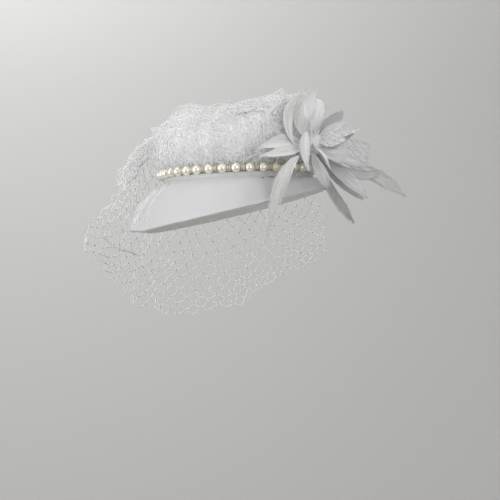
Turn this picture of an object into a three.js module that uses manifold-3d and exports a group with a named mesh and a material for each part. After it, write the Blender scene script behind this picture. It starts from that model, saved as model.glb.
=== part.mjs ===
// A pillbox fascinator, worn tilted over the left temple: a satin side band and crown tip, a trim of
// faux pearls round the top edge, a pouf of netting on the crown with a face veil falling from it,
// and a flower of feathers and fabric petals at the back. Millimetres, +Z up.
// -Y is the way the wearer looks and +X the wearer's left. The origin is the middle of the rim.
import * as THREE from 'three';
import Module from 'manifold-3d';
import { mergeVertices } from 'three/addons/utils/BufferGeometryUtils.js';

const wasm = await Module();
wasm.setup();

// ---- driving dimensions ----
const GAP = 0.3;                       // between pieces that touch
const TURN = 60;                       // degrees: the hat's low end points to the wearer's left and front
const TILT = 13.4;                     // degrees: the low end dips below the high one

// The hat's own axes: y runs from the low end to the high end, x across it.
const RIM = { x: 82, y: 70 };          // half sizes of the rim
const TOP = { x: 67.5, y: 50.5 };      // half sizes of the top edge
const TOP_CENTRE_Y = 11.5;
const TOP_LOW_Z = 32;                  // height of the top edge at the low end
const TOP_HIGH_Z = 12;                 // and at the high end
const RIM_SADDLE = 1.4;                // the rim's long sides hang lower than its ends
const RIM_LIP = { from: 56, lift: 2.6 };   // the low end of the rim curls up
const BAND_WALL = 2.4;
const BAND_BELLY = { all: 1.6, low: 4.6 }; // how far the side band swells, all round and at its low end
const BAND_SHOULDER = 1.4;             // over 1 puts the fullest place nearer the top edge
const TIP_WALL = 2.2;
const TIP_DOME = 6;
const BAND_AROUND = 60;               // faces round the side band
const BAND_OUTER_ROWS = 5;
const TIP_AROUND = 40;

const PEARL = 6.5;                     // diameter
const PEARL_PITCH = 9.1;
const THREAD = 1.2;                    // thread and spacer beads, as one thin core
const STRINGS = 4;                     // the pearls are joined along their thread in this many lengths
const PEARL_OUT = 1.5;                 // a pearl's centre lies this far out from the top edge
const PEARL_UP = 3.2;                  // and this far above it
const THREAD_SIDES = 8;
const RING_POINTS = 120;               // points that set out the ring of pearls
const RING_STEPS = 1200;               // steps its length is measured in

// The pouf of netting, one row for each height above the ring of pearls.
const POUF_ROWS = [
  { x: 30, y: 22, up: 3.4 },
  { x: 61, y: 45, up: -0.8 },
  { x: 63, y: 47, up: 4 },
  { x: 69, y: 54, up: 8 },
  { x: 73, y: 57.5, up: 17 },
  { x: 69, y: 54.5, up: 27 },
  { x: 56, y: 45, up: 37 },
  { x: 34, y: 27, up: 42.5 },
];
const POUF_RISE = 0.42;                // it stands taller towards the flower by this share
const POUF_AROUND = 36;
const FLOWER_ROOM = { radius: 15, around: 14, rows: 8 };   // hollow the pouf leaves for the petals' roots
const CALYX_ROOM = 4.5;                // and the room it leaves round the calyx

// The face veil hangs round the wearer's head. Its angles are taken about the head's middle, from
// straight ahead towards the wearer's left.
const HEAD_MIDDLE = { x: -14.7, y: 8.5 };
const VEIL_THICK = 1.6;
const VEIL_COLUMNS = 24;
const VEIL_TOP = { x: 76.5, y: 60.5, z: 50, from: -60, to: -240 };   // degrees about the pouf
const VEIL_HEM = { from: 64, to: -60, radius: 101, flare: 17, nose: 14, noseWidth: 17 };
const HEM_LOW_Z = -76;
const HEM_CORNER_Z = -21;
// One row for each place down the veil: share of the drop, and share of the way out to the hem.
const VEIL_FALL = [
  { down: 0, out: 0 },
  { down: 0.12, out: 0.27 },
  { down: 0.27, out: 0.43 },
  { down: 0.5, out: 0.54 },
  { down: 0.73, out: 0.82 },
  { down: 0.88, out: 0.96 },
  { down: 1, out: 1 },
];

// The flower stands on a short calyx sewn to the crown tip, beside the pearls.
const CALYX_FOOT = new THREE.Vector3(33, 39, 32.6);
const FLOWER = new THREE.Vector3(44, 54, 44);
const CALYX = { foot: 4.5, waist: 4, head: 7.5 };   // radii
const CALYX_AROUND = 12;
const PETAL_START = 8.6;               // distance of a petal's root from the flower's middle
const PETAL_THICK = 1;
const PETAL_STEPS = 7;
const PETAL_ROOT = 0.16;               // share of a petal's half width kept at its root
const PETAL_CUP = 0.12;                // a petal's edges rise by this share of its half width
const FLOWER_LEAN = 16;                // the petals' faces turn towards +X by this much
// One row for each petal and feather: its name, "mid", "tip", "wide", "at", "blunt" and "roll".
// Its midline leaves the flower towards mid, and ends at tip. wide is its greatest width and at the
// share of the length where that is; blunt petals keep a share of their width at the tip. roll turns
// the blade about its midline, in degrees.
const PETALS = [
  ['feather_tall', [56, 43, 61], [51, 53.5, 75], 19, 0.6, 0.3, 0],
  ['petal_upper', [38, 66, 57], [34, 77, 66], 9, 0.55, 0.2, 20],
  ['petal_glitter', [46, 72, 50], [43, 88, 53.5], 7, 0.4, 0.1, 10],
  ['petal_back_upper', [28, 70, 49], [27, 83, 47.5], 6, 0.5, 0.1, 0],
  ['petal_lace', [52, 74, 42], [45, 94, 37], 16, 0.85, 0.9, 0],
  ['petal_thin_middle', [60, 73, 34], [56, 91, 28.5], 4.5, 0.5, 0.1, 0],
  ['petal_thin_low', [32, 76, 31], [34, 103, 27.5], 5, 0.5, 0.1, 0],
  ['feather_hackle', [22, 82, 26], [24, 121, 10.5], 8, 0.75, 0.3, 0],
  ['petal_broad', [57, 69, 23], [58, 90.5, 8], 10, 0.5, 0.15, 0],
  ['petal_back_low', [40, 74, 19], [38, 87, 6.5], 8, 0.5, 0.15, 0],
  ['petal_rim', [65, 57, 30], [56, 65.5, 14.5], 9, 0.6, 0.3, 10],
  ['petal_narrow', [74, 60, 38], [70, 65, 26], 5, 0.5, 0.1, 0],
  ['petal_front', [64, 50, 58], [70, 52.5, 25], 7, 0.5, 0.1, 0],
  ['feather_side_upper', [68, 40, 46], [79, 22, 38], 6, 0.5, 0.15, 0],
  ['feather_side_lower', [74, 43, 36], [82, 22, 33.5], 5, 0.5, 0.15, 0],
  ['feather_hanging', [86, 35, 22], [81, 28, -18], 8, 0.6, 0.15, 0],
  ['petal_sheer', [40, 68, 6], [36, 83.5, -8], 8, 0.6, 0.1, 0],
  ['petal_far_upper', [24, 64, 60], [10, 70, 62], 9, 0.5, 0.15, 0],
  ['petal_far_middle', [18, 66, 44], [2, 74, 42], 9, 0.5, 0.15, 0],
  ['petal_far_low', [20, 72, 34], [8, 80, 24], 8, 0.5, 0.15, 0],
].map(([name, mid, tip, wide, at, blunt, roll]) => ({ name, mid, tip, wide, at, blunt, roll }));

// The comb sewn inside the high end, teeth towards the middle of the hat.
const COMB = { teeth: 12, pitch: 3.8, tooth: 2, long: 28, spine: 5, thick: 1.6, y: 57, z: 4 };

// ---- materials ----
const satin = { color: 0xf1f1f4, roughness: 0.42, metalness: 0 };
const pearl = { color: 0xf7f3ea, roughness: 0.12, metalness: 0 };
const net = { color: 0xf4f4f6, roughness: 0.6, metalness: 0 };
const feather = { color: 0xf3f3f1, roughness: 0.75, metalness: 0 };
const organza = { color: 0xeeeef2, roughness: 0.5, metalness: 0 };
const plastic = { color: 0xf2f2ee, roughness: 0.35, metalness: 0 };

function piece(name, geometry, finish) {
  const mesh = new THREE.Mesh(geometry, new THREE.MeshStandardMaterial(finish));
  mesh.name = name;
  return mesh;
}

// ---- lofting ----
function volume(points, faces) {
  let sum = 0;
  for (const [a, b, c] of faces) sum += points[a].dot(points[b].clone().cross(points[c]));
  return sum / 6;
}

// A solid through closed loops of equal point counts. ends says how it closes: 'ring' joins the
// last loop to the first, 'fan' caps both with a middle point, 'strip' sews a flat loop shut.
function loft(loops, ends) {
  const n = loops[0].length;
  const points = loops.flat().map((p) => p.clone());
  const faces = [];
  const quad = (a, b, c, d) => faces.push([a, b, c], [a, c, d]);
  const spans = ends === 'ring' ? loops.length : loops.length - 1;
  for (let i = 0; i < spans; i++) {
    const here = i * n;
    const next = ((i + 1) % loops.length) * n;
    for (let j = 0; j < n; j++) {
      const k = (j + 1) % n;
      quad(here + j, here + k, next + k, next + j);
    }
  }
  const lastLoop = (loops.length - 1) * n;
  if (ends === 'fan') {
    for (const start of [0, lastLoop]) {
      const middle = new THREE.Vector3();
      for (let j = 0; j < n; j++) middle.addScaledVector(points[start + j], 1 / n);
      points.push(middle);
      const m = points.length - 1;
      for (let j = 0; j < n; j++) {
        const k = (j + 1) % n;
        faces.push(start === 0 ? [m, start + k, start + j] : [m, start + j, start + k]);
      }
    }
  }
  if (ends === 'strip') {
    for (let j = 0; j < n / 2 - 1; j++) {
      quad(j, n - 1 - j, n - 2 - j, j + 1);
      quad(lastLoop + j, lastLoop + j + 1, lastLoop + n - 2 - j, lastLoop + n - 1 - j);
    }
  }
  if (volume(points, faces) < 0) faces.forEach((face) => face.reverse());
  const geometry = new THREE.BufferGeometry().setFromPoints(points);
  geometry.setIndex(faces.flat());
  geometry.computeVertexNormals();
  return geometry;
}

function toSolid(geometry) {
  const plain = geometry.clone();
  plain.deleteAttribute('normal');
  plain.deleteAttribute('uv');
  const merged = mergeVertices(plain, 1e-4);
  const vertProperties = new Float32Array(merged.attributes.position.array);
  const triVerts = new Uint32Array(merged.index.array);
  return new wasm.Manifold(new wasm.Mesh({ numProp: 3, vertProperties, triVerts }));
}

function fromSolid(solid) {
  const { vertProperties, triVerts } = solid.getMesh();
  const geometry = new THREE.BufferGeometry();
  geometry.setAttribute('position', new THREE.BufferAttribute(new Float32Array(vertProperties), 3));
  geometry.setIndex(new THREE.BufferAttribute(new Uint32Array(triVerts), 1));
  geometry.computeVertexNormals();
  return geometry;
}

// ---- the hat's edges, in the hat's own axes ----
const radians = THREE.MathUtils.degToRad;

function rimPoint(angle, inset = 0) {
  const y = (RIM.y - inset) * Math.sin(angle);
  const sag = -RIM_SADDLE * Math.cos(angle) ** 2;
  const curl = RIM_LIP.lift * THREE.MathUtils.smoothstep(-y, RIM_LIP.from, RIM.y);
  return new THREE.Vector3((RIM.x - inset) * Math.cos(angle), y, sag + curl);
}

function topHeight(y) {
  const share = (y - (TOP_CENTRE_Y - TOP.y)) / (2 * TOP.y);
  return THREE.MathUtils.lerp(TOP_LOW_Z, TOP_HIGH_Z, share);
}

function topPoint(angle, out = 0, up = 0) {
  const y = TOP_CENTRE_Y + (TOP.y + out) * Math.sin(angle);
  return new THREE.Vector3((TOP.x + out) * Math.cos(angle), y, topHeight(y) + up);
}

function sideBand() {
  const loops = [];
  for (let i = 0; i < BAND_AROUND; i++) {
    const angle = (i / BAND_AROUND) * 2 * Math.PI;
    const lowEnd = Math.max(0, -Math.sin(angle)) ** 2;
    const belly = BAND_BELLY.all + BAND_BELLY.low * lowEnd;
    const wall = (share, inset) => {
      const p = rimPoint(angle, inset).lerp(topPoint(angle, -inset, -TIP_WALL - GAP), share);
      const swell = belly * Math.sin(Math.PI * share ** BAND_SHOULDER);
      return p.add(new THREE.Vector3(Math.cos(angle), Math.sin(angle), 0).multiplyScalar(swell));
    };
    const outer = Array.from({ length: BAND_OUTER_ROWS }, (_, k) => wall(k / (BAND_OUTER_ROWS - 1), 0));
    const inner = [1, 0.5, 0].map((share) => wall(share, BAND_WALL));
    loops.push([...outer, ...inner]);
  }
  return piece('side_band', loft(loops, 'ring'), satin);
}

function ellipseLoop(count, x, y, middleY, height) {
  return Array.from({ length: count }, (_, i) => {
    const angle = (i / count) * 2 * Math.PI;
    const py = middleY + y * Math.sin(angle);
    return new THREE.Vector3(x * Math.cos(angle), py, height(py, angle));
  });
}

function crownTip() {
  const dome = (share) => TIP_DOME * (1 - share * share);
  const row = (share, drop) => {
    const height = (y) => topHeight(y) + dome(share) - drop;
    return ellipseLoop(TIP_AROUND, TOP.x * share, TOP.y * share, TOP_CENTRE_Y, height);
  };
  const under = [0.3, 0.65, 1].map((share) => row(share, TIP_WALL));
  const over = [1, 0.85, 0.55, 0.2].map((share) => row(share, 0));
  return piece('crown_tip', loft([...under, ...over], 'fan'), satin);
}

// ---- pearls ----
function pearlRing() {
  const ring = Array.from({ length: RING_POINTS }, (_, i) =>
    topPoint((i / RING_POINTS) * 2 * Math.PI, PEARL_OUT, PEARL_UP));
  const curve = new THREE.CatmullRomCurve3(ring, true);
  curve.arcLengthDivisions = RING_STEPS;
  return curve;
}

// A round section across the thread, at a distance along it.
function threadSection(curve, distance, radius) {
  const share = THREE.MathUtils.euclideanModulo(distance / curve.getLength(), 1);
  const middle = curve.getPointAt(share);
  const along = curve.getTangentAt(share);
  const side = new THREE.Vector3().crossVectors(along, new THREE.Vector3(0, 0, 1)).normalize();
  const up = new THREE.Vector3().crossVectors(side, along);
  return Array.from({ length: THREAD_SIDES }, (_, i) => {
    const angle = (i / THREAD_SIDES) * 2 * Math.PI;
    return middle.clone()
      .addScaledVector(side, radius * Math.cos(angle))
      .addScaledVector(up, radius * Math.sin(angle));
  });
}

function pearlStrings() {
  const curve = pearlRing();
  const count = Math.round(curve.getLength() / PEARL_PITCH);
  const pitch = curve.getLength() / count;
  const perString = Math.ceil(count / STRINGS);
  const radius = PEARL / 2;
  const bead = [-1, -0.75, 0, 0.75, 1].map((along) => ({
    along: along * radius,
    radius: Math.max(THREAD / 2, radius * Math.sqrt(1 - along * along)),
  }));
  return Array.from({ length: STRINGS }, (_, s) => {
    const first = s * perString;
    const last = Math.min(first + perString, count);
    const loops = [];
    for (let i = first; i < last; i++) {
      for (const row of bead) loops.push(threadSection(curve, i * pitch + row.along, row.radius));
    }
    return piece(`pearl_string_${s + 1}`, loft(loops, 'fan'), pearl);
  });
}

// ---- netting ----
// Height of the ring of pearls over the hat group's own level, where y runs towards the high end.
const tiltTurn = new THREE.Euler(radians(TILT), 0, 0);

function ringEnds() {
  const low = topPoint(-Math.PI / 2, PEARL_OUT, PEARL_UP).applyEuler(tiltTurn);
  const high = topPoint(Math.PI / 2, PEARL_OUT, PEARL_UP).applyEuler(tiltTurn);
  return { low, high };
}

function poufLoop(row, count) {
  const { low, high } = ringEnds();
  const middleY = (low.y + high.y) / 2;
  const halfY = (high.y - low.y) / 2;
  return ellipseLoop(count, row.x, row.y, middleY, (y) => {
    const share = (y - middleY) / halfY;
    const ring = THREE.MathUtils.lerp(low.z, high.z, (share + 1) / 2);
    return ring + row.up * (1 + POUF_RISE * Math.max(0, share) ** 1.3);
  });
}

// The pouf leaves room for the calyx and for the roots of the petals.
function veilPouf() {
  const pouf = toSolid(loft(POUF_ROWS.map((row) => poufLoop(row, POUF_AROUND)), 'fan'));
  const room = new THREE.SphereGeometry(FLOWER_ROOM.radius, FLOWER_ROOM.around, FLOWER_ROOM.rows);
  room.translate(FLOWER.x, FLOWER.y, FLOWER.z);
  const shaft = calyxGeometry(CALYX_ROOM);
  return piece('veil_pouf', fromSolid(pouf.subtract(toSolid(room)).subtract(toSolid(shaft))), net);
}

function headDirection(angle, radius) {
  return new THREE.Vector3(
    HEAD_MIDDLE.x + radius * Math.sin(angle),
    HEAD_MIDDLE.y - radius * Math.cos(angle),
    0,
  );
}

function hemPoint(share) {
  const degrees = THREE.MathUtils.lerp(VEIL_HEM.from, VEIL_HEM.to, share);
  const side = Math.abs(degrees) / VEIL_HEM.from;
  const nose = VEIL_HEM.nose * Math.exp(-((degrees / VEIL_HEM.noseWidth) ** 2));
  const p = headDirection(radians(degrees), VEIL_HEM.radius + VEIL_HEM.flare * side ** 3 + nose);
  p.z = THREE.MathUtils.lerp(HEM_LOW_Z, HEM_CORNER_Z, 1 - Math.cos(side * Math.PI / 2));
  return p;
}

function veilTopPoint(share) {
  const angle = radians(THREE.MathUtils.lerp(VEIL_TOP.from, VEIL_TOP.to, share));
  const { low, high } = ringEnds();
  const p = new THREE.Vector3(
    VEIL_TOP.x * Math.cos(angle),
    (low.y + high.y) / 2 + VEIL_TOP.y * Math.sin(angle),
    VEIL_TOP.z,
  );
  return p.applyAxisAngle(new THREE.Vector3(0, 0, 1), radians(TURN));
}

function veilDrape() {
  const loops = [];
  for (let i = 0; i < VEIL_COLUMNS; i++) {
    const share = i / (VEIL_COLUMNS - 1);
    const top = veilTopPoint(share);
    const hem = hemPoint(share);
    const face = VEIL_FALL.map((row) => new THREE.Vector3(
      THREE.MathUtils.lerp(top.x, hem.x, row.out),
      THREE.MathUtils.lerp(top.y, hem.y, row.out),
      THREE.MathUtils.lerp(top.z, hem.z, row.down),
    ));
    const outward = hem.clone().sub(top).setZ(0).normalize().multiplyScalar(-VEIL_THICK);
    const back = face.map((p) => p.clone().add(outward));
    loops.push([...face, ...back.reverse()]);
  }
  return piece('veil_drape', loft(loops, 'strip'), net);
}

// ---- flower ----
function calyxGeometry(extra = 0) {
  const long = FLOWER.distanceTo(CALYX_FOOT);
  const profile = [
    [0, -extra],
    [CALYX.foot + extra, -extra],
    [CALYX.waist + extra, long * 0.45],
    [CALYX.head + extra, long * 0.85],
    [CALYX.head * 0.9 + extra, long + 1],
    [CALYX.head * 0.5 + extra, long + 3.4 + extra / 2],
    [0, long + 4.4 + extra],
  ];
  const outline = profile.map(([r, h]) => new THREE.Vector2(r, h));
  const geometry = new THREE.LatheGeometry(outline, CALYX_AROUND);
  const axis = FLOWER.clone().sub(CALYX_FOOT).normalize();
  geometry.applyQuaternion(new THREE.Quaternion().setFromUnitVectors(new THREE.Vector3(0, 1, 0), axis));
  geometry.translate(CALYX_FOOT.x, CALYX_FOOT.y, CALYX_FOOT.z);
  return geometry;
}

// Half the blade's width at a share of its length.
function bladeWidth(row, share) {
  const half = row.wide / 2;
  if (share < row.at) {
    return half * (PETAL_ROOT + (1 - PETAL_ROOT) * Math.sin((share / row.at) * Math.PI / 2));
  }
  const left = (share - row.at) / (1 - row.at);
  return half * (row.blunt + (1 - row.blunt) * Math.cos(left * Math.PI / 2));
}

function petal(row) {
  const mid = new THREE.Vector3(...row.mid);
  const tip = new THREE.Vector3(...row.tip);
  const root = mid.clone().sub(FLOWER).setLength(PETAL_START).add(FLOWER);
  const midline = new THREE.QuadraticBezierCurve3(root, mid, tip);
  const lean = new THREE.Vector3(FLOWER_LEAN, 0, 0);
  const outward = FLOWER.clone().sub(CALYX_FOOT).add(lean).normalize();
  const loops = [];
  for (let i = 0; i <= PETAL_STEPS; i++) {
    const share = i / PETAL_STEPS;
    const middle = midline.getPoint(share);
    const along = midline.getTangent(share);
    const side = new THREE.Vector3().crossVectors(along, outward).normalize();
    side.applyAxisAngle(along, radians(row.roll));
    const up = new THREE.Vector3().crossVectors(side, along);
    const half = bladeWidth(row, share);
    const thick = PETAL_THICK * (share < 1 ? 0.5 : 0.3);
    const cup = PETAL_CUP * half;
    const at = (across, rise) =>
      middle.clone().addScaledVector(side, across * half).addScaledVector(up, rise);
    loops.push([
      at(-1, cup - thick * 0.5), at(0, -thick), at(1, cup - thick * 0.5),
      at(1, cup + thick * 0.5), at(0, thick), at(-1, cup + thick * 0.5),
    ]);
  }
  return piece(row.name, loft(loops, 'strip'), row.name.startsWith('feather') ? feather : organza);
}

// ---- comb ----
function hairComb() {
  const half = ((COMB.teeth - 1) * COMB.pitch + COMB.tooth) / 2;
  const outline = new THREE.Shape();
  outline.moveTo(-half, COMB.spine);
  for (let i = 0; i < COMB.teeth; i++) {
    const left = -half + i * COMB.pitch;
    outline.lineTo(left, 0);
    outline.lineTo(left + COMB.tooth * 0.3, -COMB.long);
    outline.lineTo(left + COMB.tooth * 0.7, -COMB.long);
    outline.lineTo(left + COMB.tooth, 0);
  }
  outline.lineTo(half, COMB.spine);
  outline.closePath();
  const geometry = new THREE.ExtrudeGeometry(outline, { depth: COMB.thick, bevelEnabled: false });
  const comb = piece('hair_comb', geometry, plastic);
  comb.position.set(0, COMB.y, COMB.z);
  return comb;
}

// ---- assembly ----
const fascinator = new THREE.Group();
const turned = new THREE.Group();
turned.rotation.z = radians(TURN);
const hat = new THREE.Group();
hat.rotation.copy(tiltTurn);
hat.add(sideBand(), crownTip(), hairComb(), ...pearlStrings());
turned.add(hat, veilPouf(), piece('flower_calyx', calyxGeometry(), feather), ...PETALS.map(petal));
fascinator.add(turned, veilDrape());

export default fascinator;
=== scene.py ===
"""The fascinator's looks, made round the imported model: satin crown, pearls, netting and flower.

Shapes are worked out in millimetres, in one of three sets of axes: the row frame; the turned axes,
whose y runs from the hat's low end to its high end and x towards the viewer; and the hat's own
axes, which are the turned ones tilted with the hat.
"""

import math
from math import pi

import bpy
import numpy as np
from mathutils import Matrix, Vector


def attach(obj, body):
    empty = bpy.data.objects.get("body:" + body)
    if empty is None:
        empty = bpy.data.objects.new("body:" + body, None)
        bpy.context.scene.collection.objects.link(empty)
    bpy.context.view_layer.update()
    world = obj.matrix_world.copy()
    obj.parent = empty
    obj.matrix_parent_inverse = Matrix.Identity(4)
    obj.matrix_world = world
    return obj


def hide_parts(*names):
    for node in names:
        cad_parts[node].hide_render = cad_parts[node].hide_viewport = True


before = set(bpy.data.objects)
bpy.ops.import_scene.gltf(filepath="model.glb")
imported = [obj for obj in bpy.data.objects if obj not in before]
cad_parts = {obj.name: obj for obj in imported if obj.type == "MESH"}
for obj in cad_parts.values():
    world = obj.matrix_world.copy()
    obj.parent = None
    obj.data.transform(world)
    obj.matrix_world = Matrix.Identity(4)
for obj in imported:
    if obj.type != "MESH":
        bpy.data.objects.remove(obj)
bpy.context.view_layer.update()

MM = 0.001
GAP = 0.3
TURN = math.radians(60)
TILT = math.radians(13.4)

# The crown, in the hat's own axes.
RIM = (82.0, 70.0)
TOP = (67.5, 50.5)
TOP_CENTRE_Y = 11.5
TOP_LOW_Z, TOP_HIGH_Z = 32.0, 12.0
RIM_SADDLE = 1.4
RIM_LIP_FROM, RIM_LIP_LIFT = 56.0, 2.6
BAND_WALL = 2.4
BAND_BELLY, BAND_BELLY_LOW, BAND_SHOULDER = 1.6, 4.6, 1.4
TIP_WALL, TIP_DOME = 2.2, 6.0
PEARL, PEARL_PITCH, PEARL_OUT, PEARL_UP = 6.5, 9.1, 1.5, 3.2
PEARL_SINK = 0.5

# The pouf, in the turned axes: half sizes and height over the ring of pearls.
POUF_ROWS = np.array([
    (0, 0, 42),
    (34, 27, 41),
    (56, 45, 36),
    (69, 54.5, 27),
    (73, 57.5, 17),
    (72, 56, 9),
    (69, 52.5, 3.8),
    (66.4, 49.9, 1.8),
    (65.3, 48.6, -1.2),
    (65.2, 48.5, -3.6),
])
POUF_RISE = 0.38
POUF_REACH = 101.0

# The face veil. Its root is part of an ellipse in the turned axes. Its hem goes round the middle of
# the head, in the row frame. Both have their start and end in degrees.
HEAD_MIDDLE = (-14.7, 8.5)
VEIL_TOP = dict(x=76.5, y=60.5, z=50.0, start=-60.0, end=-240.0)
VEIL_HEM = dict(start=64.0, end=-60.0, radius=101.0, flare=17.0, nose=14.0, nose_width=17.0)
HEM_LOW_Z, HEM_CORNER_Z = -76.0, -21.0
# How far the veil has dropped and gone out, as shares, at even steps from its root to its hem.
VEIL_FALL = np.array([
    (0, 0), (0.12, 0.27), (0.27, 0.43), (0.5, 0.54), (0.73, 0.82), (0.88, 0.96), (1, 1),
])

# The flower, in the turned axes.
CALYX_FOOT = np.array((33.0, 39.0, 32.6))
FLOWER = np.array((44.0, 54.0, 44.0))
PETAL_START = 8.6


# ---- axes and small sums ----
def array(*values):
    return np.stack(np.broadcast_arrays(*values), -1).astype(float)


def from_turned(p):
    """Turned axes to row frame."""
    c, s = math.cos(TURN), math.sin(TURN)
    return array(c * p[..., 0] - s * p[..., 1], s * p[..., 0] + c * p[..., 1], p[..., 2])


def tilted(p):
    """The hat's own axes to turned axes."""
    c, s = math.cos(TILT), math.sin(TILT)
    return array(p[..., 0], p[..., 1] * c - p[..., 2] * s, p[..., 1] * s + p[..., 2] * c)


def from_hat(p):
    return from_turned(tilted(p))


def unit(v):
    return v / np.maximum(np.linalg.norm(v, axis=-1, keepdims=True), 1e-9)


def smoothstep(x, low=0.0, high=1.0):
    t = np.clip((x - low) / (high - low), 0, 1)
    return t * t * (3 - 2 * t)


def lerp(a, b, t):
    return a + (b - a) * t


def dice(seed):
    return np.random.default_rng(seed)


def circle(count):
    return np.arange(count) * 2 * pi / count


def ring_of(a, b, count):
    """Points of a unit circle that starts at direction a and turns towards b, for each a and b."""
    turn = circle(count)[:, None]
    return np.cos(turn) * a[..., None, :] + np.sin(turn) * b[..., None, :]


def solid_of(flat):
    """Points on a plane, with a third axis of zeros."""
    return np.concatenate([flat, np.zeros((len(flat), 1))], 1)


def waves(seed, wavelength):
    """A smooth random vector field of about unit size, from a sum of plane waves."""
    rng, count = dice(seed), 14
    ways = unit(rng.normal(size=(count, 3)))
    pushes = unit(rng.normal(size=(count, 3)))
    numbers = 2 * pi / (wavelength * rng.uniform(0.7, 1.5, count))
    phases = rng.uniform(0, 2 * pi, count)

    def field(p):
        angle = (p @ ways.T) * numbers + phases
        return np.sin(angle) @ pushes * math.sqrt(2 / count) * 1.3

    return field


# ---- meshes ----
class Shape:
    """Vertices in millimetres and faces, gathered until they become one mesh."""

    def __init__(self):
        self.points, self.faces, self.uvs, self.count = [], [], [], 0

    def add(self, points, faces, uvs=None):
        points = np.asarray(points, float).reshape(-1, 3)
        self.points.append(points)
        self.faces += [tuple(int(i) + self.count for i in f) for f in faces]
        self.uvs.append(np.zeros((len(points), 2)) if uvs is None else np.asarray(uvs).reshape(-1, 2))
        self.count += len(points)

    def mesh(self, name):
        points = np.concatenate(self.points) * MM
        mesh = bpy.data.meshes.new(name)
        mesh.from_pydata(points.tolist(), [], self.faces)
        layer = mesh.uv_layers.new(name="along")
        loop_points = np.empty(len(mesh.loops), np.int32)
        mesh.loops.foreach_get("vertex_index", loop_points)
        layer.data.foreach_set("uv", np.concatenate(self.uvs)[loop_points].astype(np.float32).ravel())
        return mesh


def add_object(name, data):
    obj = bpy.data.objects.new(name, data)
    bpy.context.scene.collection.objects.link(obj)
    return obj


def piece(name, shape, material, stands_for=(), smooth=True):
    """Makes a shape into an object that rides on the hat and stands for its CAD nodes."""
    mesh = shape.mesh(name)
    for m in material if isinstance(material, (list, tuple)) else [material]:
        mesh.materials.append(m)
    mesh.polygons.foreach_set("use_smooth", [smooth] * len(mesh.polygons))
    mesh.set_sharp_from_angle(angle=math.radians(80))
    mesh.update()
    obj = add_object(name, mesh)
    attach(obj, "root")
    if stands_for:
        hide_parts(*stands_for)
    return obj


def paint(obj, indices):
    """Sets which of the object's materials each face has."""
    obj.data.polygons.foreach_set("material_index", np.asarray(indices).astype(np.int32))


def grid_faces(rows, columns, wrap_rows=False, wrap_columns=False):
    i = np.arange(rows if wrap_rows else rows - 1)
    j = np.arange(columns if wrap_columns else columns - 1)
    i, j = np.meshgrid(i, j, indexing="ij")
    k, m = (i + 1) % rows, (j + 1) % columns
    quads = np.stack([i * columns + j, i * columns + m, k * columns + m, k * columns + j], -1)
    return quads.reshape(-1, 4).tolist()


def tube_faces(rows, columns, ends=True, flip=True):
    """Faces of a tube with a cap at each end, turned over where its rings run the other way round."""
    faces = grid_faces(rows, columns, wrap_columns=True)
    if ends:
        faces += [list(range(columns))[::-1], list(range((rows - 1) * columns, rows * columns))]
    return [f[::-1] for f in faces] if flip else faces


def tubes(shape, starts, ends, radius, sides):
    """Closed straight tubes, one for each pair of points."""
    along = unit(ends - starts)
    helper = np.where(np.abs(along[:, 2:3]) > 0.9, [[1.0, 0, 0]], [[0, 0, 1.0]])
    side = unit(np.cross(along, helper))
    radius = np.broadcast_to(np.asarray(radius, float), (len(starts),))[:, None, None]
    ring = radius * ring_of(side, np.cross(along, side), sides)
    points = np.concatenate([starts[:, None] + ring, ends[:, None] + ring], 1)
    one = [(k, (k + 1) % sides, sides + (k + 1) % sides, sides + k) for k in range(sides)]
    one += [tuple(range(sides))[::-1], tuple(range(sides, 2 * sides))]
    faces = [tuple(v + 2 * sides * t for v in f) for t in range(len(starts)) for f in one]
    shape.add(points, faces)


def knots(shape, centres, radius):
    """A small eight-sided knot at each point."""
    ways = np.array([(1, 0, 0), (0, 1, 0), (-1, 0, 0), (0, -1, 0), (0, 0, 1), (0, 0, -1)], float)
    points = centres[:, None] + ways[None] * radius
    one = [(0, 1, 4), (1, 2, 4), (2, 3, 4), (3, 0, 4), (1, 0, 5), (2, 1, 5), (3, 2, 5), (0, 3, 5)]
    shape.add(points, [tuple(v + 6 * t for v in f) for t in range(len(centres)) for f in one])


def rope(shape, points, radius, sides=6):
    """One closed tube along a smooth run of points, its radius a number or one for each point."""
    points = np.asarray(points, float)
    n = len(points)
    radius = np.broadcast_to(np.asarray(radius, float), (n,))
    along = unit(np.gradient(points, axis=0))
    side = np.zeros((n, 3))
    side[0] = unit(np.cross(along[0], [0.3, 0.2, 1.0]))
    for i in range(1, n):
        side[i] = unit(side[i - 1] - along[i] * np.dot(side[i - 1], along[i]))
    body = points[:, None] + ring_of(side, np.cross(along, side), sides) * radius[:, None, None]
    uvs = array(np.arange(sides)[None] / sides, np.linspace(0, 1, n)[:, None])
    shape.add(body, tube_faces(n, sides), uvs)


# ---- materials ----
def material(name, color, roughness, **inputs):
    """A node material and its shader. Its steady values are set on the shader's own sockets."""
    mat = bpy.data.materials.new(name)
    mat.use_nodes = True
    shader = mat.node_tree.nodes["Principled BSDF"]
    shader.inputs["Base Color"].default_value = (*color, 1)
    shader.inputs["Roughness"].default_value = roughness
    for key, value in inputs.items():
        shader.inputs[key.replace("_", " ")].default_value = value
    return mat, shader


def add_node(mat, kind, **settings):
    node = mat.node_tree.nodes.new("ShaderNode" + kind)
    for key, value in settings.items():
        if hasattr(node, key):
            setattr(node, key, value)
        else:
            node.inputs[key.replace("_", " ")].default_value = value
    return node


def link(mat, a, out, b, into):
    mat.node_tree.links.new(a.outputs[out], b.inputs[into])


def tint(mat, shader, node, low, high, out="Fac"):
    """Base colour between two colours, by a node's output."""
    ramp = add_node(mat, "ValToRGB")
    ramp.color_ramp.elements[0].color = (*low, 1)
    ramp.color_ramp.elements[1].color = (*high, 1)
    link(mat, node, out, ramp, "Fac")
    link(mat, ramp, "Color", shader, "Base Color")
    return ramp


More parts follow.
